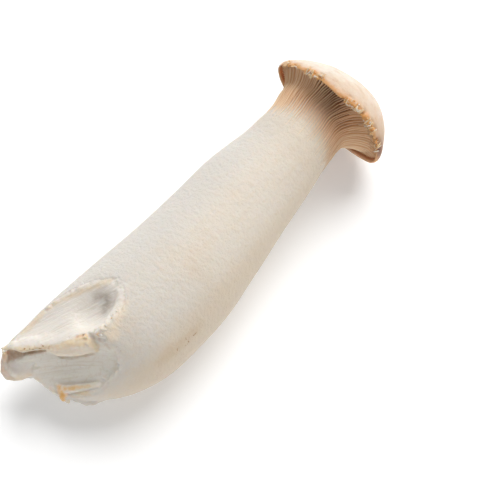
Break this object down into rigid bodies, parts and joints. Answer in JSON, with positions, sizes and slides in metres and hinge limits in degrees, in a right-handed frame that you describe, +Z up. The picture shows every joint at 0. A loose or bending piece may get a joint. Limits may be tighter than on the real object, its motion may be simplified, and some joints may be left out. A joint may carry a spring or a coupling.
{
  "type": "king oyster mushroom",
  "caption": "Whole king oyster mushroom lying on its side: stout pale stem with a torn base, flaring into decurrent gills under a small domed cap.",
  "frame": {"origin": "on the surface it lies on, under the middle of its bounding box", "axes": "+X along the stem from the torn base to the cap, +Z up from the surface, +Y to the left of the stem seen from above with the cap ahead"},
  "size_m": [0.158, 0.0498, 0.0461],
  "materials": {
    "flesh": "matte, finely silky",
    "gills": "matte",
    "torn_flesh": "matte, fibrous"
  },
  "bodies": {
    "root": {"mushroom": "flesh"}
  },
  "joints": []
}
